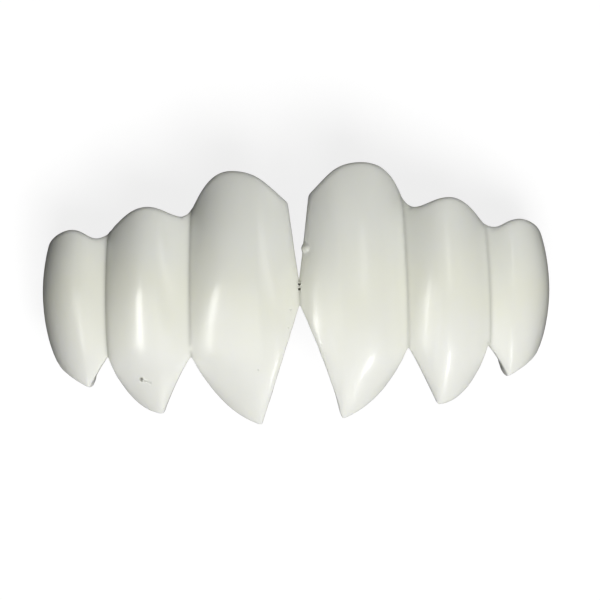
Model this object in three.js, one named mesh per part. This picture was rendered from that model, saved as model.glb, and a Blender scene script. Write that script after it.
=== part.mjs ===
// Novelty fake teeth: six pointed upper teeth cast in one piece of glossy acrylic, worn over the
// wearer's own front teeth. The casting is a thin arched shell, hollow at the back, and it lies on its back.
// X runs along the row, Y from the tips up to the gum line, and Z out of the front. Sizes are millimetres.
import * as THREE from "three";

// The arch that the row of teeth follows, seen along Y, near the bottoms of the grooves: one wide arc over
// the front, and on either side a tight arc from the turn and a straight stretch back to the rear edge. The
// turns are measured along the arch.
const FRONT_RADIUS = 75;
const END_RADIUS = 4;
const REAR_LENGTH = 4.5;
const LEFT_TURN = 18.49;
const RIGHT_TURN = 17.85;
const END_TILT = THREE.MathUtils.degToRad(85);

// Each tooth is bowed from its gum line to its tip, the shorter outer teeth more sharply, and stands
// furthest forward at one height.
const FRONT_BOW_RADIUS = 26;
const REAR_BOW_RADIUS = 12;
const BOW_CENTRE_Y = 0.3;

// Depth of the grooves below the faces: shallow at the level of the fangs, where each groove has a depth of
// its own, and deep at the gum line, with a slow start. Fang relief is the depth where no groove is.
const FANG_RELIEF = 0.5;
const GUM_RELIEF = 2.4;
const FANG_LEVEL_Y = -8;
const GUM_LEVEL_Y = 8;
const RELIEF_EASE = 1.5;

// Below the grooves a fang is round about the ridge that runs down to its tip, and this far below the
// crotches it is fully so. Outward radius is that of the side away from the midline.
const FANG_ROUND_Y = -5.4;
const FANG_ROUND_SPAN = 4.5;
const OUTWARD_RADIUS = 5;
const TIP_HALF_WIDTH = 0.4;

// Thickness of the shell over the wearer's teeth and of the fangs below them. Both thin out towards
// their rims, the gum line's more than the fangs'. The rim is trimmed: its edge lies this far behind the face.
const SHELL_WALL = 1.8;
const FANG_WALL = 3.0;
const GUM_RIM_WALL = 0.8;
const FANG_RIM_WALL = 1.8;
const RIM_TAPER = 2.4;
const RIM_EDGE = 0.22;
const FANG_START_Y = -2;
const FANG_FULL_Y = -6;

// What the two teeth of a kind share. Crown is how far a tooth stands out of the arch, and roundness
// shapes its face: 2 is a round barrel and more is flatter. Inward drop is how far the fang's face falls away
// to its edge on the midline's side. Belly is how far down its lower edge is full, and bellySpan how far
// towards the tip, both as shares.
const KINDS = {
  outer: { crown: 1.3, roundness: 2, inwardDrop: 0.8, belly: 0.64, bellySpan: 0.5 },
  middle: { crown: 1.5, roundness: 2, inwardDrop: 0.9, belly: 0.95, bellySpan: 0.29 },
  inner: { crown: 1.5, roundness: 2.6, inwardDrop: 0.2, belly: 0.79, bellySpan: 0.33 },
};

// The teeth from left to right. The gum point is the top of a tooth and the tip its bottom, both as seen
// from the front. Shoulder is how far the top stays level towards the outside, as a share, and inset is
// how far the lower edge on the midline's side is hollowed.
const TEETH = [
  { kind: "outer", gumX: -20.07, gumY: 6.08, tipX: -18.63, tipY: -7.86, shoulder: 0.12, inset: 0 },
  { kind: "middle", gumX: -13.32, gumY: 7.88, tipX: -12.13, tipY: -10.25, shoulder: 0.42, inset: 0.3 },
  { kind: "inner", gumX: -6.04, gumY: 10.81, tipX: -3.55, tipY: -11.48, shoulder: 0.58, inset: -0.1 },
  { kind: "inner", gumX: 5.66, gumY: 11.28, tipX: 3.42, tipY: -11.1, shoulder: 0.82, inset: 0.45 },
  { kind: "middle", gumX: 13.48, gumY: 8.05, tipX: 11.86, tipY: -10.08, shoulder: 0.42, inset: 0.05 },
  { kind: "outer", gumX: 19.68, gumY: 6.01, tipX: 18.12, tipY: -7.83, shoulder: 0.12, inset: 0 },
];

// The grooves between neighbours, from left to right. The notch is the low point of the gum line beside
// the groove, on the tooth further from the midline, and the crotch is where the groove ends between two
// tips. Relief is the groove's depth at the level of the fangs.
const NOTCHED_TEETH = [0, 1, 4, 5];
const GROOVES = [
  { grooveX: -16.88, notchX: -17.67, notchY: 5.17, crotchY: -5.05, relief: 0.5 },
  { grooveX: -9.52, notchX: -10.12, notchY: 6.85, crotchY: -5.25, relief: 0.3 },
  { grooveX: 9.42, notchX: 10.15, notchY: 7.14, crotchY: -4.9, relief: 1.2 },
  { grooveX: 16.48, notchX: 17.18, notchY: 5.27, crotchY: -4.9, relief: 1 },
];

// At the midline the inner teeth touch along a short contact. Above it each has a straight edge up to a
// corner of its gum line, and the two edges leave a V notch.
const CONTACT_TOP_Y = 0.96;
const CONTACT_BOTTOM_Y = -1.05;
const LEFT_CORNER = { x: -0.79, y: 7.85 };
const RIGHT_CORNER = { x: 1.01, y: 8.52 };

// The outer teeth taper to a rear edge that is ground flat, which the casting rests on.
const REAR_TOP_Y = 2.3;
const REAR_BOTTOM_Y = -2.2;

// Handle lengths of the edge curves, as shares of the curve's span.
const STEEP_SIDE = { foot: 0.25 };
const GENTLE_SIDE = { foot: 0.22, peak: 0.48 };
const CORNER_SIDE = { foot: 0.3, peak: 0.55, rise: 0.45 };
const REAR_SIDE = { foot: 0.1, rise: 0.25 };

// How finely the shell is divided: steps across a tooth, rows up its face and rows round its rim.
const STEP = 0.7;
const LEAST_STEPS = 6;
const STEP_EASE = 0.6;
const FACE_ROWS = 11;
const RIM_ROWS = [0, 0.08, 0.35];

// A rim takes up no more than this share of a section, and a point on a curve is found by halving a span
// this often.
const RIM_LIMIT = 0.4;
const HALVINGS = 40;

// The arch: its tilt at a length along it from the midline, the point there, and the way out of it.
function turnAt(along) {
  return along < 0 ? LEFT_TURN : RIGHT_TURN;
}

function endOfArc(turn) {
  return turn + END_RADIUS * (END_TILT - turn / FRONT_RADIUS);
}

function archTilt(along) {
  const length = Math.abs(along);
  const turn = turnAt(along);
  const tilt = Math.min(length, turn) / FRONT_RADIUS + Math.max(0, length - turn) / END_RADIUS;
  return Math.min(tilt, END_TILT);
}

function archPoint(along) {
  const tilt = archTilt(along);
  const front = Math.min(tilt, turnAt(along) / FRONT_RADIUS);
  const straight = Math.max(0, Math.abs(along) - endOfArc(turnAt(along)));
  const x = FRONT_RADIUS * Math.sin(front) + END_RADIUS * (Math.sin(tilt) - Math.sin(front));
  const drop = FRONT_RADIUS * (1 - Math.cos(front)) + END_RADIUS * (Math.cos(front) - Math.cos(tilt));
  return {
    x: Math.sign(along) * (x + straight * Math.cos(END_TILT)),
    z: -drop - straight * Math.sin(END_TILT),
  };
}

function archNormal(along) {
  const tilt = archTilt(along);
  return { x: Math.sign(along) * Math.sin(tilt), z: Math.cos(tilt) };
}

function alongFront(x) {
  return FRONT_RADIUS * Math.asin(x / FRONT_RADIUS);
}

const leftEnd = -endOfArc(LEFT_TURN) - REAR_LENGTH;
const rightEnd = endOfArc(RIGHT_TURN) + REAR_LENGTH;
const REST_Z = Math.min(archPoint(leftEnd).z, archPoint(rightEnd).z);

// The teeth with the lengths along the arch that they lie between, the reliefs there, and the length of their
// tips.
const grooveAlongs = GROOVES.map((groove) => alongFront(groove.grooveX));
const borders = [leftEnd, ...grooveAlongs.slice(0, 2), 0, ...grooveAlongs.slice(2), rightEnd];
const reliefs = GROOVES.map((groove) => groove.relief);
const borderReliefs = [FANG_RELIEF, ...reliefs.slice(0, 2), FANG_RELIEF, ...reliefs.slice(2), FANG_RELIEF];
const teeth = TEETH.map((row, i) => ({
  ...row,
  ...KINDS[row.kind],
  from: borders[i],
  to: borders[i + 1],
  fromRelief: borderReliefs[i],
  toRelief: borderReliefs[i + 1],
  ridgeEnd: alongFront(row.tipX),
}));

function toothAt(along) {
  return teeth.find((tooth) => along <= tooth.to) ?? teeth[teeth.length - 1];
}

// How deep a groove is at a height, from its depth at the level of the fangs.
function reliefAt(y, fangRelief) {
  const rise = THREE.MathUtils.clamp((y - FANG_LEVEL_Y) / (GUM_LEVEL_Y - FANG_LEVEL_Y), 0, 1);
  return THREE.MathUtils.lerp(fangRelief, GUM_RELIEF, rise ** RELIEF_EASE);
}

// How far the face of a fang falls away from the ridge that runs from the tooth's middle to its tip.
function fangDrop(tooth, along, y) {
  const lower = THREE.MathUtils.clamp((y - FANG_ROUND_Y) / (tooth.tipY - FANG_ROUND_Y), 0, 1);
  const ridge = THREE.MathUtils.lerp((tooth.from + tooth.to) / 2, tooth.ridgeEnd, lower);
  const share = THREE.MathUtils.smoothstep(FANG_ROUND_Y - y, 0, FANG_ROUND_SPAN);
  const away = along - ridge;
  if (Math.abs(along) > Math.abs(ridge)) return (share * away ** 2) / (2 * OUTWARD_RADIUS);
  const halfWidth = Math.max(((1 - lower) * (tooth.to - tooth.from)) / 2, TIP_HALF_WIDTH);
  return share * tooth.inwardDrop * Math.sqrt(1 - lower) * (away / halfWidth) ** 2;
}

// The front face: how far it stands off the arch at a length along it and a height.
function faceOffset(along, y) {
  const tooth = toothAt(along);
  const across = (2 * (along - tooth.from)) / (tooth.to - tooth.from) - 1;
  const swell = 1 - Math.abs(across) ** tooth.roundness;
  const relief = reliefAt(y, across < 0 ? tooth.fromRelief : tooth.toRelief);
  const rearward = (along / (along < 0 ? leftEnd : rightEnd)) ** 2;
  const bowRadius = THREE.MathUtils.lerp(FRONT_BOW_RADIUS, REAR_BOW_RADIUS, rearward);
  const bow = (y - BOW_CENTRE_Y) ** 2 / (2 * bowRadius);
  return tooth.crown - bow - (1 - swell) * relief - fangDrop(tooth, along, y);
}

// The length along the arch at which the front face has a given x, as read from the front, at a height.
function alongAt(tooth, x, y) {
  let low = tooth.from;
  let high = tooth.to;
  for (let i = 0; i < HALVINGS; i++) {
    const middle = (low + high) / 2;
    const faceX = archPoint(middle).x + archNormal(middle).x * faceOffset(middle, y);
    if (faceX < x) low = middle;
    else high = middle;
  }
  return (low + high) / 2;
}

// A curve of the gum line from a foot up to a tooth's gum point, where it is level.
function gumCurve(foot, i, side) {
  const peak = gums[i];
  const width = peak.x - foot.x;
  const rise = (side.rise ?? 0) * (peak.y - foot.y);
  return new THREE.CubicBezierCurve(
    foot,
    new THREE.Vector2(foot.x + side.foot * width, foot.y + rise),
    new THREE.Vector2(peak.x - (side.peak ?? teeth[i].shoulder) * width, peak.y),
    peak,
  );
}

// The rounded lower edge of a tooth, from a crotch or the rear edge to the tip.
function bellyCurve(start, i) {
  const tip = tips[i];
  const control = new THREE.Vector2(
    start.x + teeth[i].bellySpan * (tip.x - start.x),
    start.y + teeth[i].belly * (tip.y - start.y),
  );
  return new THREE.QuadraticBezierCurve(start, control, tip);
}

// The lower edge of a tooth on the midline's side, from its tip to a crotch or to the contact.
function mesialCurve(end, i) {
  const tip = tips[i];
  const inset = Math.sign(tip.x) * teeth[i].inset;
  const control = new THREE.Vector2((tip.x + end.x) / 2 + inset, (tip.y + end.y) / 2);
  return new THREE.QuadraticBezierCurve(tip, control, end);
}

// The outline's named points, each as a length along the arch and a height.
const at = (i, x, y) => new THREE.Vector2(alongAt(teeth[i], x, y), y);
const gums = teeth.map((tooth, i) => at(i, tooth.gumX, tooth.gumY));
const tips = teeth.map((tooth, i) => at(i, tooth.tipX, tooth.tipY));
const notches = GROOVES.map((groove, i) => at(NOTCHED_TEETH[i], groove.notchX, groove.notchY));
const crotches = GROOVES.map((groove, i) => new THREE.Vector2(grooveAlongs[i], groove.crotchY));
const corners = [at(2, LEFT_CORNER.x, LEFT_CORNER.y), at(3, RIGHT_CORNER.x, RIGHT_CORNER.y)];
const contactTop = new THREE.Vector2(0, CONTACT_TOP_Y);
const contactBottom = new THREE.Vector2(0, CONTACT_BOTTOM_Y);
const rearTops = [leftEnd, rightEnd].map((along) => new THREE.Vector2(along, REAR_TOP_Y));
const rearBottoms = [leftEnd, rightEnd].map((along) => new THREE.Vector2(along, REAR_BOTTOM_Y));

// The outline from left to right: the gum line along the top and the tips along the bottom.
const gumLine = [
  gumCurve(rearTops[0], 0, REAR_SIDE),
  gumCurve(notches[0], 0, GENTLE_SIDE),
  gumCurve(notches[0], 1, STEEP_SIDE),
  gumCurve(notches[1], 1, GENTLE_SIDE),
  gumCurve(notches[1], 2, STEEP_SIDE),
  gumCurve(corners[0], 2, CORNER_SIDE),
  new THREE.LineCurve(corners[0], contactTop),
  new THREE.LineCurve(contactTop, corners[1]),
  gumCurve(corners[1], 3, CORNER_SIDE),
  gumCurve(notches[2], 3, STEEP_SIDE),
  gumCurve(notches[2], 4, GENTLE_SIDE),
  gumCurve(notches[3], 4, STEEP_SIDE),
  gumCurve(notches[3], 5, GENTLE_SIDE),
  gumCurve(rearTops[1], 5, REAR_SIDE),
];

const tipLine = [
  bellyCurve(rearBottoms[0], 0),
  mesialCurve(crotches[0], 0),
  bellyCurve(crotches[0], 1),
  mesialCurve(crotches[1], 1),
  bellyCurve(crotches[1], 2),
  mesialCurve(contactBottom, 2),
  mesialCurve(contactBottom, 3),
  bellyCurve(crotches[2], 3),
  mesialCurve(crotches[2], 4),
  bellyCurve(crotches[3], 4),
  mesialCurve(crotches[3], 5),
  bellyCurve(rearBottoms[1], 5),
];

// The height of an outline at a length along the arch.
function heightOn(line, along) {
  const ends = (curve) => [curve.getPoint(0).x, curve.getPoint(1).x];
  const curve = line.find((piece) => along <= Math.max(...ends(piece)) + 1e-9) ?? line[line.length - 1];
  const [first, last] = ends(curve);
  let low = 0;
  let high = 1;
  for (let i = 0; i < HALVINGS; i++) {
    const middle = (low + high) / 2;
    const before = curve.getPoint(middle).x < along;
    if (before === first < last) low = middle;
    else high = middle;
  }
  return curve.getPoint((low + high) / 2).y;
}

// How steep an outline is, as the length of it for each millimetre along the arch.
function steepness(line, along) {
  const nudge = 0.1;
  const left = Math.max(along - nudge, leftEnd);
  const right = Math.min(along + nudge, rightEnd);
  return Math.hypot(1, (heightOn(line, right) - heightOn(line, left)) / (right - left));
}

// The wall's thickness at a height in a section: thin at the rims, thicker in the fang than over the teeth.
function wallAt(y, bottom, top) {
  const fang = 1 - THREE.MathUtils.smoothstep(y, FANG_FULL_Y, FANG_START_Y);
  const full = THREE.MathUtils.lerp(SHELL_WALL, FANG_WALL, fang);
  const fromFang = THREE.MathUtils.lerp(FANG_RIM_WALL, full, THREE.MathUtils.smoothstep(y - bottom, 0, RIM_TAPER));
  return THREE.MathUtils.lerp(GUM_RIM_WALL, fromFang, THREE.MathUtils.smoothstep(top - y, 0, RIM_TAPER));
}

// The rows of a section from its bottom to its top, each with its height and the share of its wall's
// thickness that is left there: the rim is round, so that share falls to nothing at either end.
function sectionRows(along) {
  const bottom = heightOn(tipLine, along);
  const top = heightOn(gumLine, along);
  const most = RIM_LIMIT * (top - bottom);
  const bottomRim = Math.min((FANG_RIM_WALL / 2) * steepness(tipLine, along), most);
  const topRim = Math.min((GUM_RIM_WALL / 2) * steepness(gumLine, along), most);
  const left = (share) => Math.sqrt(1 - (1 - share) ** 2);
  const rows = RIM_ROWS.map((share) => ({ y: bottom + share * bottomRim, left: left(share) }));
  for (let i = 0; i <= FACE_ROWS; i++) {
    const y = THREE.MathUtils.lerp(bottom + bottomRim, top - topRim, i / FACE_ROWS);
    rows.push({ y, left: 1 });
  }
  const topRows = RIM_ROWS.map((share) => ({ y: top - share * topRim, left: left(share) }));
  return { bottom, top, rows: [...rows, ...topRows.reverse()] };
}

// One closed section of the shell: up its front face, over the rim, and down its back.
function section(along) {
  const { bottom, top, rows } = sectionRows(along);
  const point = archPoint(along);
  const normal = archNormal(along);
  const place = (y, offset) => new THREE.Vector3(point.x + normal.x * offset, y, point.z + normal.z * offset);
  const walls = rows.map(({ y, left }) => {
    const edge = faceOffset(along, y) - RIM_EDGE;
    const behind = wallAt(y, bottom, top) - RIM_EDGE;
    return { front: place(y, edge + left * RIM_EDGE), back: place(y, edge - left * behind) };
  });
  const fronts = walls.map((wall) => wall.front);
  const backs = walls.slice(1, -1).map((wall) => wall.back);
  const loop = [...fronts, ...backs.reverse()];
  if (along === leftEnd || along === rightEnd) loop.forEach((corner) => (corner.z = REST_Z));
  return loop;
}

// Where the sections are: one at each groove, tip and corner, and steps between those that are shorter
// towards both ends.
function sectionAlongs() {
  const fixed = [...borders, ...tips.map((tip) => tip.x), ...corners.map((corner) => corner.x)];
  fixed.sort((a, b) => a - b);
  const eased = (share) => share - (STEP_EASE * Math.sin(2 * Math.PI * share)) / (2 * Math.PI);
  const alongs = [fixed[0]];
  for (let i = 1; i < fixed.length; i++) {
    const steps = Math.max(LEAST_STEPS, Math.round((fixed[i] - fixed[i - 1]) / STEP));
    for (let k = 1; k < steps; k++) alongs.push(THREE.MathUtils.lerp(fixed[i - 1], fixed[i], eased(k / steps)));
    alongs.push(fixed[i]);
  }
  return alongs;
}

// The shell: its sections joined side by side, and closed by the two rear edges.
function shellGeometry() {
  const loops = sectionAlongs().map(section);
  const size = loops[0].length;
  const positions = loops.flat().flatMap((corner) => corner.toArray());
  const triangles = [];
  for (let i = 0; i + 1 < loops.length; i++) {
    for (let k = 0; k < size; k++) {
      const next = (k + 1) % size;
      const [a, b, c, d] = [i * size + k, (i + 1) * size + k, (i + 1) * size + next, i * size + next];
      const rising = loops[i][k].distanceTo(loops[i + 1][next]);
      const falling = loops[i + 1][k].distanceTo(loops[i][next]);
      if (rising < falling) triangles.push(a, b, c, a, c, d);
      else triangles.push(a, b, d, b, c, d);
    }
  }
  const last = (loops.length - 1) * size;
  for (let k = 1; k + 1 < size; k++) {
    const [near, far] = [k, (k + 1) % size];
    triangles.push(0, near, far, last, last + far, last + near);
  }
  const geometry = new THREE.BufferGeometry();
  geometry.setAttribute("position", new THREE.Float32BufferAttribute(positions, 3));
  geometry.setIndex(triangles);
  geometry.computeVertexNormals();
  return geometry;
}

const ivoryAcrylic = new THREE.MeshStandardMaterial({ color: 0xe6e7dd, roughness: 0.22, metalness: 0 });

const veneer = new THREE.Mesh(shellGeometry(), ivoryAcrylic);
veneer.name = "fang_veneer";

// The origin is on the surface that the casting lies on, under the middle of its outline.
const box = new THREE.Box3().setFromObject(veneer);
const middle = box.getCenter(new THREE.Vector3());
veneer.position.set(-middle.x, -middle.y, -box.min.z);

const fakeTeeth = new THREE.Group();
fakeTeeth.add(veneer);

export default fakeTeeth;
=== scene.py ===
# %% [markdown]
# # Novelty fake teeth
# A costume piece: six pointed upper teeth cast in one shell of glossy ivory acrylic. It lies on its back
# and the camera looks straight down on it. This lesson dresses the plain solid: it rounds the casting,
# keeps its grooves crisp, adds the marks of hand work, gives it a finish, and lights it like a product
# on a white table.

import math

import bmesh
import bpy
from mathutils import Matrix, Vector, kdtree, noise


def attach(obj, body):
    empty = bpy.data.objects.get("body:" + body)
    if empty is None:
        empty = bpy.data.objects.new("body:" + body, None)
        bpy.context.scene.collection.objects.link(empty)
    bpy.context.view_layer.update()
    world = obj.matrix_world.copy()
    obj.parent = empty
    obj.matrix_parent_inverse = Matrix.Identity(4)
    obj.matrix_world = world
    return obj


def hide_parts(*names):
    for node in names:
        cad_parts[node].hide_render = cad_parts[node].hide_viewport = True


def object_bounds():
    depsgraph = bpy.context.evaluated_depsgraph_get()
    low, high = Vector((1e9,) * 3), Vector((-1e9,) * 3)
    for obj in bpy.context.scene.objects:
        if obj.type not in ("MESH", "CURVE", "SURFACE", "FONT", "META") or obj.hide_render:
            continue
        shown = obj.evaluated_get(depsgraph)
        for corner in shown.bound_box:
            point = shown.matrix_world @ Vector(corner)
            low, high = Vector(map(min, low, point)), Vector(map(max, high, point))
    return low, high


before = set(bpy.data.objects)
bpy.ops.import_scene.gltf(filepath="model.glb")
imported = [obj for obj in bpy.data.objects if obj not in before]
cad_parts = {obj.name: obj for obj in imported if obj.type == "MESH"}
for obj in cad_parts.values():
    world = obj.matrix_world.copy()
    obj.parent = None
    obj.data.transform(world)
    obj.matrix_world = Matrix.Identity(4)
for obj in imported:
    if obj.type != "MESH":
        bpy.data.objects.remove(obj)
cad_low, cad_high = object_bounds()
MM = 0.001
size_mm = [round(side / MM, 2) for side in cad_high - cad_low]
print("the solid measures", size_mm, "mm")

# %% [markdown]
# ## The casting
# The solid already has the outline and the swell of each tooth, but it is made of flat triangles. A
# smooth casting could be sculpted again from nothing, or the solid's own mesh could be rounded. Rounding
# keeps every size, so that is done here. The triangles come loose from the file: their corners are
# merged first. The triangles of each flat rear edge are dissolved into one face.

# %% Copy and clean the solid's mesh
SHELL_NODE = "fang_veneer"
MERGE_DISTANCE = 0.002 * MM
REST_HEIGHT = 0.01 * MM

casting = bmesh.new()
casting.from_mesh(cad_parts[SHELL_NODE].data)
bmesh.ops.remove_doubles(casting, verts=casting.verts, dist=MERGE_DISTANCE)
print("merged corners", len(casting.verts), "triangles", len(casting.faces))

rear_faces = [f for f in casting.faces if all(abs(v.co.z) < REST_HEIGHT for v in f.verts)]
rear_edges = bmesh.ops.dissolve_faces(casting, faces=rear_faces)["region"]
print("flat rear edges", len(rear_edges))

# %% [markdown]
# Pairs of triangles are then joined into four-sided faces, because a subdivision surface flows along
# those. Two triangles are joined only where they are nearly level, so that no fold is lost.

# %% Join the triangles
LEVEL_ANGLE = math.radians(20)
SKEW_ANGLE = math.radians(120)

bmesh.ops.join_triangles(
    casting,
    faces=[f for f in casting.faces if len(f.verts) == 3],
    angle_face_threshold=LEVEL_ANGLE,
    angle_shape_threshold=SKEW_ANGLE,
)
print("faces after joining", len(casting.faces))

# %% [markdown]
# ## Crisp grooves
# A subdivision surface melts every fold. On the real casting the teeth are round, but the groove between
# two teeth is a sharp line, and the ground rear edges are flat. A crease on an edge tells the
# subdivision how much of that fold to keep. The grooves are found by their angle: they are the only
# hollow folds on the front. The trimmed edges of the shell are sharp folds the other way. They may melt
# a little, but the points along both kinds are kept for later steps.

# %% Crease the grooves and the rear edges
GROOVE_ANGLE = math.radians(29)
RIM_ANGLE = math.radians(40)
GROOVE_CREASE = 0.75
REAR_CREASE = 0.7
STEPS_ALONG = 8


def many_sided(face):
    return len(face.verts) > 4


def points_along(edge):
    start, end = edge.verts
    return [start.co.lerp(end.co, step / STEPS_ALONG) for step in range(STEPS_ALONG + 1)]


crease = casting.edges.layers.float.new("crease_edge")
groove_points = []
rim_points = []
for edge in casting.edges:
    facing = sum((f.normal for f in edge.link_faces), Vector())
    fold = edge.calc_face_angle_signed()
    if any(many_sided(f) for f in edge.link_faces):
        edge[crease] = REAR_CREASE
    elif fold < -GROOVE_ANGLE and facing.z > 0:
        edge[crease] = GROOVE_CREASE
        groove_points += [point.xy.to_3d() for point in points_along(edge)]
    elif fold > RIM_ANGLE:
        rim_points += points_along(edge)
print("points along the grooves", len(groove_points), "and the trimmed edges", len(rim_points))

# %% [markdown]
# The subdivision is applied at once, so that the next steps can move the fine mesh's own points.

# %% Round the casting
ROUNDING_LEVELS = 2


def new_object(name, bm):
    mesh = bpy.data.meshes.new(name)
    bm.to_mesh(mesh)
    bm.free()
    obj = bpy.data.objects.new(name, mesh)
    bpy.context.scene.collection.objects.link(obj)
    return obj


def apply_modifiers(obj):
    depsgraph = bpy.context.evaluated_depsgraph_get()
    rounded = bpy.data.meshes.new_from_object(obj.evaluated_get(depsgraph))
    obj.modifiers.clear()
    obj.data = rounded


teeth = new_object("fang_veneer_cast", casting)
rounding = teeth.modifiers.new("rounding", "SUBSURF")
rounding.levels = ROUNDING_LEVELS
rounding.render_levels = ROUNDING_LEVELS
apply_modifiers(teeth)
print("rounded faces", len(teeth.data.polygons))

# %% [markdown]
# ## Hand work
# The fine mesh can now be worked as the real casting was, which somebody trimmed and polished by hand.
# Two search trees help with that. They tell how far a point is from the nearest groove, seen from the
# front, and from the nearest trimmed edge.

# %% How far from a groove and from an edge
WORN_WIDTH = 0.7 * MM


def search_tree(places):
    tree = kdtree.KDTree(len(places))
    for index, place in enumerate(places):
        tree.insert(place, index)
    tree.balance()
    return tree


def from_groove(corner):
    return groove_tree.find(corner.co.xy.to_3d())[2]


def wear(corner):
    return max(0.0, 1 - rim_tree.find(corner.co)[2] / WORN_WIDTH)


groove_tree = search_tree(groove_points)
rim_tree = search_tree(rim_points)
print("trimmed edges are worn over", WORN_WIDTH / MM, "mm")

# %% [markdown]
# No face of the casting is quite even, so its reflections are a little crooked. A slow wave, a few
# hundredths of a millimetre high, gives that. It follows noise, which is smooth and the same on every
# run. The trimmed edges get a finer wave sideways, as a small grinding wheel leaves it. The rear edges
# stay flat, because the casting rests on them.

# %% An uneven polish
WAVE_LENGTH = 3.2 * MM
WAVE_HEIGHT = 0.022 * MM
TRIM_LENGTH = 0.55 * MM
TRIM_DEPTH = 0.05 * MM
FLAT_BELOW = 3.0 * MM
RIM_FACING = 0.75

skin = bmesh.new()
skin.from_mesh(teeth.data)
skin.normal_update()
for corner in skin.verts:
    away = min(1.0, corner.co.z / FLAT_BELOW)
    wave = WAVE_HEIGHT * noise.noise(corner.co / WAVE_LENGTH)
    if abs(corner.normal.z) < RIM_FACING:
        wave += TRIM_DEPTH * wear(corner) * noise.noise(corner.co / TRIM_LENGTH)
    corner.co += corner.normal * (wave * away)
skin.normal_update()
print("uneven points", len(skin.verts))

# %% [markdown]
# ## Marks of the casting
# A few small faults show in the photograph: a burst air bubble with a scratch beside it, faint pits, two
# pinholes where the halves meet, a chip, and a nub that was left on the trimmed edge by the midline.
# Each is carved into the mesh. The faces around it are divided first, until they are finer than the mark
# itself. Edges that are fine already, as by the midline, are left alone.

# %% Divide the faces around a mark
FRONT_FACING = 0.1
FINEST_EDGE = 0.035 * MM


def points_near(x, y, reach):
    centre = Vector((x * MM, y * MM))
    return [v for v in skin.verts if v.normal.z > FRONT_FACING and (v.co.xy - centre).length < reach * MM]


def divide(x, y, reach, times):
    for _ in range(times):
        near = set(points_near(x, y, reach))
        inside = {e for v in near for e in v.link_edges if e.other_vert(v) in near}
        coarse = [e for e in inside if e.calc_length() > FINEST_EDGE]
        bmesh.ops.subdivide_edges(skin, edges=coarse, cuts=1, use_grid_fill=True)
        skin.normal_update()


print("edges are divided down to", FINEST_EDGE / MM, "mm")

# %% [markdown]
# Then the points inside the mark's radius move in, and a low lip rises around it. A dark mark also gets
# painted shade, a darker colour in its hollow, kept as an attribute that the finish reads. Places and
# sizes are in millimetres, and the lip's place and width are shares of the radius.

# %% Carve the pits and the chip
LIP_SHARE = 0.12
LIP_AT = 1.1
LIP_HALF_WIDTH = 0.5
WIDE_RADII = 2
WIDE_MARGIN = 0.25
CLOSE_RADII = 1.5
BUBBLE = {"x": -13.68, "y": -7.06, "radius": 0.22, "depth": 0.18, "dark": 1.0}
FAINT_PITS = [
    {"x": -0.5, "y": -1.3, "radius": 0.14, "depth": 0.05, "dark": 0.12},
    {"x": -0.7, "y": -2.86, "radius": 0.14, "depth": 0.05, "dark": 0.12},
    {"x": -3.5, "y": -6.52, "radius": 0.12, "depth": 0.04, "dark": 0.12},
]
PINHOLES = [
    {"x": 0.3, "y": 0.88, "radius": 0.15, "depth": 0.2, "dark": 1.0},
    {"x": 0.29, "y": 0.44, "radius": 0.15, "depth": 0.2, "dark": 1.0},
]
CHIP = {"x": 14.74, "y": -8.74, "radius": 0.28, "depth": 0.14}


def dent(x, y, radius, depth, dark=0.0):
    centre = Vector((x * MM, y * MM))
    for corner in points_near(x, y, (LIP_AT + LIP_HALF_WIDTH) * radius):
        share = (corner.co.xy - centre).length / (radius * MM)
        hollow = max(0.0, 1 - share**2) ** 2
        lip = LIP_SHARE * max(0.0, 1 - ((share - LIP_AT) / LIP_HALF_WIDTH) ** 2)
        corner.co -= corner.normal * (depth * MM * (hollow - lip))
        # painted shade: the hollow of a dark mark gets a darker colour, as shade would fall in it
        corner[painted_shade] = max(corner[painted_shade], dark * hollow)


# the painted shade in the pits, the scratch and the grooves is kept as a point attribute
painted_shade = skin.verts.layers.float.new("painted_shade")
pits = [BUBBLE, *FAINT_PITS, *PINHOLES, CHIP]
for pit in pits:
    divide(pit["x"], pit["y"], WIDE_RADII * pit["radius"] + WIDE_MARGIN, times=2)
    divide(pit["x"], pit["y"], CLOSE_RADII * pit["radius"], times=1)
    dent(**pit)
print("pits", len(pits), "points", len(skin.verts))

# %% [markdown]
# The scratch is a row of shallow dents that run together, and the nub is a dent turned inside out.

# %% The scratch and the nub
SCRATCH_FROM = Vector((-13.46, -7.17))
SCRATCH_TO = Vector((-12.85, -7.42))
SCRATCH_REACH = 0.6
SCRATCH_DENTS = 8
SCRATCH_RADIUS = 0.11
SCRATCH_DEPTH = 0.045
SCRATCH_DARK = 0.3
NUB = Vector((0.82, 3.98))
NUB_REACH = 0.8
NUB_RADIUS = 0.5
NUB_HEIGHT = 0.16

middle = (SCRATCH_FROM + SCRATCH_TO) / 2
divide(middle.x, middle.y, SCRATCH_REACH, times=2)
for step in range(SCRATCH_DENTS):
    spot = SCRATCH_FROM.lerp(SCRATCH_TO, step / (SCRATCH_DENTS - 1))
    dent(spot.x, spot.y, SCRATCH_RADIUS, SCRATCH_DEPTH, dark=SCRATCH_DARK)
divide(NUB.x, NUB.y, NUB_REACH, times=2)
dent(NUB.x, NUB.y, NUB_RADIUS, -NUB_HEIGHT)
print("points after the marks", len(skin.verts))

# %% [markdown]
# ## Where the finish changes
# Three things in the finish follow the teeth, not a pattern in space. The grooves get painted shade: a
# darker colour along each groove line, as the pits have. The trimmed edges are ground and not quite
# polished again. The polish is weaker beside the grooves, where the wheel hardly reaches, and on the
# outer tooth on the left, which only glows where the others shine. All three are painted onto the points
# as attributes from 0 to 1, which the material reads later. The two search trees are used again.

# %% Paint the shade in the grooves, the edges and the polish
# the width and the strength of the painted shade along the grooves
GROOVE_SHADE_WIDTH = 0.16 * MM
GROOVE_SHADE = 0.3
FULL_POLISH = 0.65
DULL_FROM = -16.4 * MM
DULL_FADE = 1.0 * MM
DULL_SHARE = 0.95
WHEEL_NEAR = 1.3 * MM
WHEEL_FULL = 2.1 * MM
WORN_DULLING = 0.5

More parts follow.
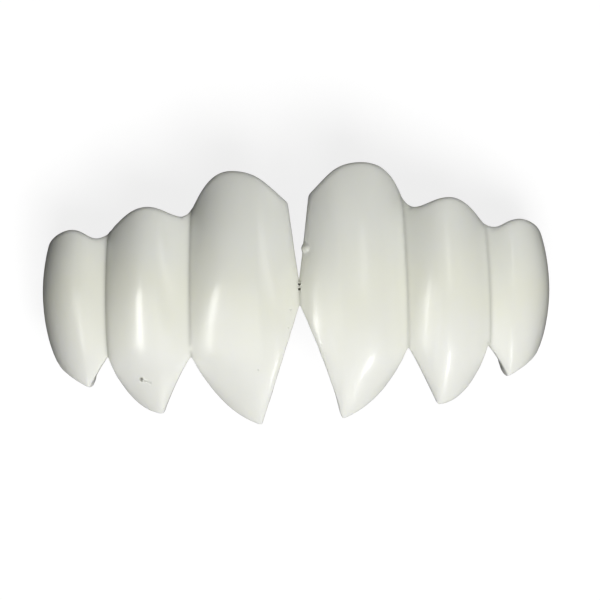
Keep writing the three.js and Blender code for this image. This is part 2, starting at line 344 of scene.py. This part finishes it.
skin.normal_update()
worn = skin.verts.layers.float.new("worn_edge")
polish = skin.verts.layers.float.new("polish")
for corner in skin.verts:
    corner[worn] = wear(corner)
    unreached = (WHEEL_FULL - from_groove(corner)) / (WHEEL_FULL - WHEEL_NEAR)
    outside = (DULL_FROM - corner.co.x) / DULL_FADE
    dull = min(1.0, max(0.0, unreached, outside))
    corner[polish] = FULL_POLISH * (1 - DULL_SHARE * dull) * (1 - WORN_DULLING * corner[worn])
    if corner.normal.z > FRONT_FACING:
        # painted shade: a darker colour along each groove line, where shade falls in the crease
        aside = from_groove(corner) / GROOVE_SHADE_WIDTH
        corner[painted_shade] = max(corner[painted_shade], GROOVE_SHADE * math.exp(-(aside**2)))
print("worn points", sum(corner[worn] > 0 for corner in skin.verts))

# %% [markdown]
# Dividing leaves some points that only split an edge, with no third edge to hold. They would turn into
# faces without any area, so they are dissolved. Faces with more than four corners are cut into triangles.

# %% Put the worked mesh back
spare_points = [corner for corner in skin.verts if len(corner.link_edges) == 2]
bmesh.ops.dissolve_verts(skin, verts=spare_points)
print("spare points", len(spare_points))

bmesh.ops.triangulate(skin, faces=[f for f in skin.faces if many_sided(f)])
for face in skin.faces:
    face.smooth = True
skin.to_mesh(teeth.data)
skin.free()
print("worked faces", len(teeth.data.polygons))

# %% [markdown]
# ## Ivory acrylic
# Dental acrylic is an ivory plastic, a little cloudy: light goes in and comes out again about a
# millimetre away, and a thin polish lies on top. The principled shader has all three: a base colour, a
# short subsurface and a clear coat. The patterns in it follow noise in the object's own coordinates and
# the attributes painted above. A few helpers make the nodes that are needed more than once, and give
# back the socket to go on from.

# %% Helpers for the nodes


def noise_pattern(tree, place, scale, detail):
    pattern = tree.nodes.new("ShaderNodeTexNoise")
    pattern.inputs["Scale"].default_value = scale
    pattern.inputs["Detail"].default_value = detail
    tree.links.new(place, pattern.inputs["Vector"])
    return pattern.outputs["Fac"]


def painted(tree, name):
    attribute = tree.nodes.new("ShaderNodeAttribute")
    attribute.attribute_name = name
    return attribute.outputs["Fac"]


def add_share(tree, value, share, base):
    total = tree.nodes.new("ShaderNodeMath")
    total.operation = "MULTIPLY_ADD"
    tree.links.new(value, total.inputs[0])
    total.inputs[1].default_value = share
    tree.links.new(base, total.inputs[2])
    return total.outputs["Value"]


point_layers = [layer for layer in teeth.data.attributes if layer.domain == "POINT"]
print("painted attributes", [layer.name for layer in point_layers if layer.data_type == "FLOAT"])

# %% [markdown]
# The colour drifts between three ivories, as false teeth are shaded: a pale tip, a warmer body and a
# greyer neck, with clouds that keep the change from being a straight line. Painted shade darkens it.

# %% The colour
IVORY_TIP = (0.80, 0.805, 0.755, 1.0)
IVORY_BODY = (0.795, 0.80, 0.705, 1.0)
IVORY_NECK = (0.79, 0.80, 0.74, 1.0)
TIP_STOP = 0.42
BODY_STOP = 0.75
NECK_STOP = 1.0
TIP_LEVEL = -10 * MM
NECK_LEVEL = 10 * MM
CLOUD_SCALE = 190
CLOUD_DETAIL = 3
CLOUD_SHARE = 0.5
# the dark colour of the painted shade in the pits, the scratch and the grooves
PAINTED_SHADE_COLOUR = (0.16, 0.16, 0.13, 1.0)


def ivory_colour(tree, place):
    axes = tree.nodes.new("ShaderNodeSeparateXYZ")
    tree.links.new(place, axes.inputs["Vector"])
    height = tree.nodes.new("ShaderNodeMapRange")
    height.inputs["From Min"].default_value = TIP_LEVEL
    height.inputs["From Max"].default_value = NECK_LEVEL
    tree.links.new(axes.outputs["Y"], height.inputs["Value"])
    clouds = noise_pattern(tree, place, CLOUD_SCALE, CLOUD_DETAIL)
    tint = tree.nodes.new("ShaderNodeValToRGB")
    stops = tint.color_ramp.elements
    stops[0].position = TIP_STOP
    stops[0].color = IVORY_TIP
    stops[1].position = NECK_STOP
    stops[1].color = IVORY_NECK
    stops.new(BODY_STOP).color = IVORY_BODY
    tree.links.new(add_share(tree, clouds, CLOUD_SHARE, height.outputs["Result"]), tint.inputs["Fac"])
    # painted shade: the painted attribute mixes the dark colour into the ivory
    shaded_colour = tree.nodes.new("ShaderNodeMix")
    shaded_colour.data_type = "RGBA"
    shaded_colour.inputs["B"].default_value = PAINTED_SHADE_COLOUR
    tree.links.new(painted(tree, "painted_shade"), shaded_colour.inputs["Factor"])
    tree.links.new(tint.outputs["Color"], shaded_colour.inputs["A"])
    return shaded_colour.outputs["Result"]


print("the ivories change over", (NECK_LEVEL - TIP_LEVEL) / MM, "mm")

# %% [markdown]
# The polish isn't even: the roughness and a very low bump follow the marks of the wheel. The painted
# edges are rougher, and a fine grit makes them grainy.

# %% The surface
WHEEL_SCALE = 420
WHEEL_DETAIL = 4
SMOOTHEST = 0.26
ROUGHEST = 0.38
GROUND_SHARE = 0.2
RIPPLE_STRENGTH = 0.12
RIPPLE_HEIGHT = 0.05 * MM
GRIT_SCALE = 3500
GRIT_DETAIL = 2
GRIT_HEIGHT = 0.06 * MM


def polished_roughness(tree, wheel_marks, worn_edge):
    gloss = tree.nodes.new("ShaderNodeMapRange")
    gloss.inputs["To Min"].default_value = SMOOTHEST
    gloss.inputs["To Max"].default_value = ROUGHEST
    tree.links.new(wheel_marks, gloss.inputs["Value"])
    return add_share(tree, worn_edge, GROUND_SHARE, gloss.outputs["Result"])


def rippled_normal(tree, place, wheel_marks, worn_edge):
    ripple = tree.nodes.new("ShaderNodeBump")
    ripple.inputs["Strength"].default_value = RIPPLE_STRENGTH
    ripple.inputs["Distance"].default_value = RIPPLE_HEIGHT
    tree.links.new(wheel_marks, ripple.inputs["Height"])
    speckle = tree.nodes.new("ShaderNodeBump")
    speckle.inputs["Distance"].default_value = GRIT_HEIGHT
    tree.links.new(noise_pattern(tree, place, GRIT_SCALE, GRIT_DETAIL), speckle.inputs["Height"])
    tree.links.new(worn_edge, speckle.inputs["Strength"])
    tree.links.new(ripple.outputs["Normal"], speckle.inputs["Normal"])
    return speckle.outputs["Normal"]


print("roughness", SMOOTHEST, "to", ROUGHEST, "and up to", round(ROUGHEST + GROUND_SHARE, 2), "on the edges")

# %% [markdown]
# The shader brings these together. The painted polish is the weight of the clear coat.

# %% The finish
ACRYLIC_IOR = 1.49
CLOUDINESS = 0.25
SCATTER = (1.0, 1.0, 0.75)
SCATTER_DEPTH = 1.0 * MM
COAT_ROUGHNESS = 0.15


def ivory_acrylic():
    material = bpy.data.materials.new("ivory_acrylic")
    material.use_nodes = True
    tree = material.node_tree
    shader = tree.nodes["Principled BSDF"]
    place = tree.nodes.new("ShaderNodeTexCoord").outputs["Object"]
    wheel_marks = noise_pattern(tree, place, WHEEL_SCALE, WHEEL_DETAIL)
    worn_edge = painted(tree, "worn_edge")
    tree.links.new(ivory_colour(tree, place), shader.inputs["Base Color"])
    tree.links.new(polished_roughness(tree, wheel_marks, worn_edge), shader.inputs["Roughness"])
    tree.links.new(rippled_normal(tree, place, wheel_marks, worn_edge), shader.inputs["Normal"])
    tree.links.new(painted(tree, "polish"), shader.inputs["Coat Weight"])
    shader.inputs["Coat Roughness"].default_value = COAT_ROUGHNESS
    shader.inputs["IOR"].default_value = ACRYLIC_IOR
    shader.inputs["Subsurface Weight"].default_value = CLOUDINESS
    shader.inputs["Subsurface Radius"].default_value = SCATTER
    shader.inputs["Subsurface Scale"].default_value = SCATTER_DEPTH
    return material


finish = ivory_acrylic()
teeth.data.materials.clear()
teeth.data.materials.append(finish)
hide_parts(SHELL_NODE)
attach(teeth, "root")
print("finish", finish.name, "nodes", len(finish.node_tree.nodes))

# %% [markdown]
# ## The table
# The casting lies on a plain white table, large enough for low views as well. It is a light table: most
# of its white is its own glow, so that the shadow on it stays faint, as in a product photograph. The
# glow itself would light the teeth from behind, so the table is hidden from the rays that light them and
# from their reflections.

# %% The floor
FLOOR_SIZE = 6.0
FLOOR_GREY = (0.22, 0.22, 0.22, 1.0)
FLOOR_ROUGHNESS = 0.9
FLOOR_GLOW = (1.0, 1.0, 1.0, 1.0)
FLOOR_GLOW_STRENGTH = 0.82

table_top = bmesh.new()
bmesh.ops.create_grid(table_top, x_segments=1, y_segments=1, size=FLOOR_SIZE / 2)
floor = new_object("floor", table_top)
floor_material = bpy.data.materials.new("white_table")
floor_material.use_nodes = True
floor_shader = floor_material.node_tree.nodes["Principled BSDF"]
floor_shader.inputs["Base Color"].default_value = FLOOR_GREY
floor_shader.inputs["Roughness"].default_value = FLOOR_ROUGHNESS
floor_shader.inputs["Emission Color"].default_value = FLOOR_GLOW
floor_shader.inputs["Emission Strength"].default_value = FLOOR_GLOW_STRENGTH
floor.data.materials.append(floor_material)
floor.visible_diffuse = False
floor.visible_glossy = False
print("floor", FLOOR_SIZE, "m wide")

# %% [markdown]
# ## Light
# The shade on the teeth and the strips that shine on them come from different lamps here. Four large
# soft boxes give the shade: most of it from below the row and from the right, so that the flanks that
# face left stay dark. They aren't seen in the gloss. Four others are seen only there. A narrow one on
# the left makes the upright strips on the left flanks, a narrow one low on the right makes those by the
# tips, and a weak one in front makes the faint bands between. The last is broad and weak, and brightens
# the middle of the left inner tooth. Each box is given by two angles, to the right and up from straight
# above the row, and stands upright.

# %% The soft boxes
SHADE_DISTANCE = 0.7
GLOSS_DISTANCE = 0.55
SHADE_BOXES = [
    {"name": "front_low", "right_deg": 5, "up_deg": -32, "width": 0.45, "height": 0.45, "watts": 3.7},
    {"name": "right_low", "right_deg": 27, "up_deg": -33, "width": 0.3, "height": 0.3, "watts": 1.6},
    {"name": "top_right", "right_deg": 60, "up_deg": 45, "width": 0.45, "height": 0.45, "watts": 1.1},
    {"name": "low_left", "right_deg": -62, "up_deg": -38, "width": 0.45, "height": 0.45, "watts": 0.4},
]
GLOSS_BOXES = [
    {"name": "left_strip", "right_deg": -33, "up_deg": -10, "width": 0.075, "height": 0.25, "watts": 0.62},
    {"name": "right_strip", "right_deg": 28, "up_deg": -34, "width": 0.045, "height": 0.1, "watts": 0.2},
    {"name": "front_strip", "right_deg": 19, "up_deg": 12, "width": 0.09, "height": 0.26, "watts": 0.12},
    {"name": "front_glow", "right_deg": -14, "up_deg": -14, "width": 0.26, "height": 0.3, "watts": 0.3},
]


def soft_box(name, right_deg, up_deg, width, height, watts, in_gloss):
    light = bpy.data.lights.new(name, "AREA")
    light.shape = "RECTANGLE"
    light.size = width
    light.size_y = height
    light.energy = watts
    lamp = bpy.data.objects.new(name, light)
    across = math.radians(right_deg)
    along = math.radians(up_deg)
    level = math.cos(along)
    towards = Vector((level * math.sin(across), math.sin(along), level * math.cos(across)))
    lamp.location = towards * (GLOSS_DISTANCE if in_gloss else SHADE_DISTANCE)
    sideways = Vector((0, 1, 0)).cross(towards).normalized()
    upright = Matrix((sideways, towards.cross(sideways), towards)).transposed()
    lamp.rotation_euler = upright.to_euler()
    lamp.visible_camera = False
    lamp.visible_glossy = in_gloss
    lamp.visible_diffuse = not in_gloss
    bpy.context.scene.collection.objects.link(lamp)


for box in SHADE_BOXES:
    soft_box(**box, in_gloss=False)
for box in GLOSS_BOXES:
    soft_box(**box, in_gloss=True)
print("soft boxes", len(SHADE_BOXES), "for the shade and", len(GLOSS_BOXES), "for the gloss")

# %% [markdown]
# A dim grey room all around keeps the darkest shade from turning black. The Standard view shows colours
# as they are, so that the white table stays white.

# %% The room
ROOM_GREY = (0.5, 0.5, 0.5, 1.0)
ROOM_STRENGTH = 0.1

room = bpy.data.worlds.new("dim_room")
room.use_nodes = True
background = room.node_tree.nodes["Background"]
background.inputs["Color"].default_value = ROOM_GREY
background.inputs["Strength"].default_value = ROOM_STRENGTH
bpy.context.scene.world = room
bpy.context.scene.view_settings.view_transform = "Standard"
print("room", room.name)

# %% [markdown]
# ## The camera
# It hangs half a metre above the table with a long lens and looks straight down, turned a degree and a
# half, so that the row leans as it does in the photograph.

# %% The camera
CAMERA_HEIGHT = 0.5
CAMERA_RIGHT = 0.324 * MM
CAMERA_UP = -0.524 * MM
CAMERA_TURN = math.radians(-1.5)
PICTURE_WIDTH = 53.15 * MM
SENSOR = 36.0
NEAREST = 0.01

eye = bpy.data.cameras.new("eye")
eye.sensor_width = SENSOR
eye.lens = SENSOR * CAMERA_HEIGHT / PICTURE_WIDTH
eye.clip_start = NEAREST
camera = bpy.data.objects.new("eye", eye)
camera.location = (CAMERA_RIGHT, CAMERA_UP, CAMERA_HEIGHT)
camera.rotation_euler = (0, 0, CAMERA_TURN)
bpy.context.scene.collection.objects.link(camera)
bpy.context.scene.camera = camera
print("lens", round(eye.lens, 1), "mm")
